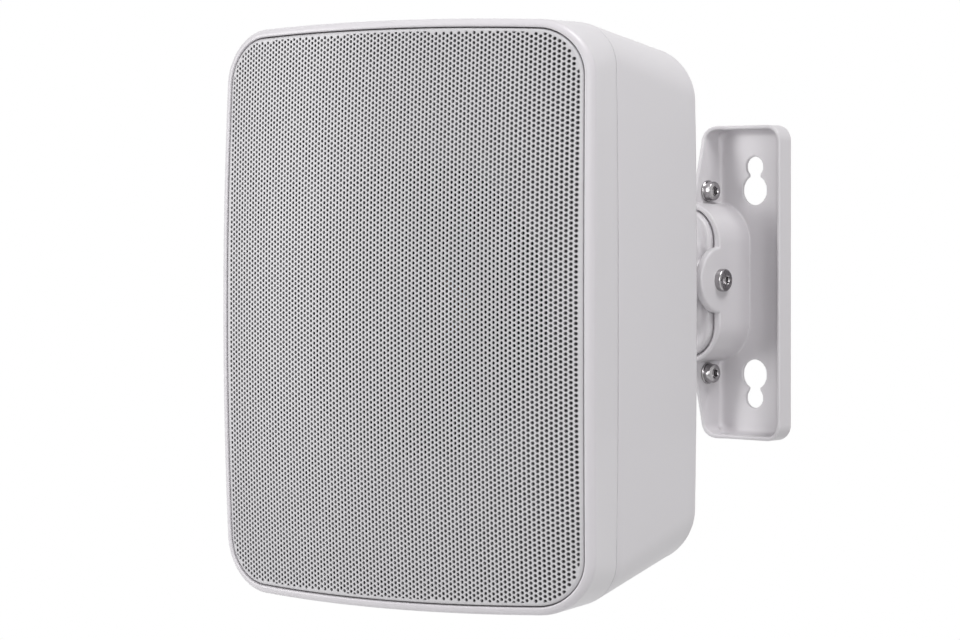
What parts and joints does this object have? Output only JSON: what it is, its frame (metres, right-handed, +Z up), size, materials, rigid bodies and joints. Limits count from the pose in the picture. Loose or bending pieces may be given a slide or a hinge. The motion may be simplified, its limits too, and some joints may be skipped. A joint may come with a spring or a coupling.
{
  "type": "network wall speaker",
  "caption": "Tapered wall speaker with a bowed perforated grille on a cast bracket that tilts at the wall and pans behind the cabinet.",
  "frame": {"origin": "centre of the bracket's four keyholes on the wall plane", "axes": "+Z up, +Y into the wall, the grille faces -Y, +X to the right seen from the room"},
  "size_m": [0.2041, 0.3355, 0.2836],
  "materials": {
    "shell_plastic": "satin",
    "cast_metal": "satin",
    "screw_steel": "satin",
    "washer_plastic": "matte",
    "grille_metal": "satin",
    "grille_cloth": "matte",
    "seal_rubber": "matte",
    "roll_rubber": "matte",
    "board_green": "gloss",
    "chip_black": "matte",
    "sink_alloy": "satin",
    "can_alloy": "gloss",
    "core_tape": "satin",
    "plated_steel": "satin",
    "terminal_green": "satin",
    "wadding": "matte",
    "frame_steel": "satin",
    "spider_cloth": "matte",
    "cone_paper": "matte",
    "coil_copper": "satin",
    "ferrite": "matte",
    "cup_plastic": "matte",
    "dome_silk": "satin"
  },
  "bodies": {
    "wall_bracket": {"bracket_half_right": "cast_metal", "bracket_half_left": "cast_metal", "joining_screws": "screw_steel", "joining_washers": "screw_steel", "joining_nuts": "screw_steel", "tilt_bolt": "screw_steel", "tilt_nut": "screw_steel", "tilt_washers": "washer_plastic"},
    "arm": {"tilt_arm": "cast_metal"},
    "cabinet": {"front_shell": "shell_plastic", "rear_shell": "shell_plastic", "connector_cover": "shell_plastic", "rear_foot": "cast_metal", "foot_screws": "screw_steel", "pan_bolt": "screw_steel", "pan_nut": "screw_steel", "housing_screws": "screw_steel", "cover_screws": "screw_steel", "board_screws": "screw_steel", "woofer_screws": "screw_steel", "tweeter_post": "screw_steel", "pan_washers": "washer_plastic", "grille": "grille_metal", "grille_cloth": "grille_cloth", "shell_seal": "seal_rubber", "cover_seal": "seal_rubber", "cable_grommet": "seal_rubber", "woofer_gasket": "seal_rubber", "woofer_surround": "roll_rubber", "main_board": "board_green", "board_chips": "chip_black", "heat_sink": "sink_alloy", "capacitors": "can_alloy", "power_transformer": "core_tape", "network_jack": "plated_steel", "front_plate": "plated_steel", "yoke_plate": "plated_steel", "backing_plate": "plated_steel", "tweeter_magnet": "plated_steel", "wire_terminal": "terminal_green", "damping_pad": "wadding", "woofer_frame": "frame_steel", "woofer_spider": "spider_cloth", "magnet_ring": "ferrite", "tweeter_cup": "cup_plastic", "tweeter_dome": "dome_silk"},
    "cone": {"woofer_cone": "cone_paper", "voice_coil": "coil_copper"}
  },
  "joints": [
    {"name": "tilt", "type": "hinge", "parent": "wall_bracket", "child": "arm", "pos_m": [0, -0.0294, 0.0017], "axis": [1, 0, 0], "range_deg": [-25, 25]},
    {"name": "pan", "type": "hinge", "parent": "arm", "child": "cabinet", "pos_m": [0, -0.102, 0], "axis": [0, 0, 1], "range_deg": [-56, 34]},
    {"name": "cone_travel", "type": "slide", "parent": "cabinet", "child": "cone", "axis": [-0.1908, 0.9816, 0], "range_m": [-0.003, 0.003], "stiffness_N_per_m": 1500}
  ]
}
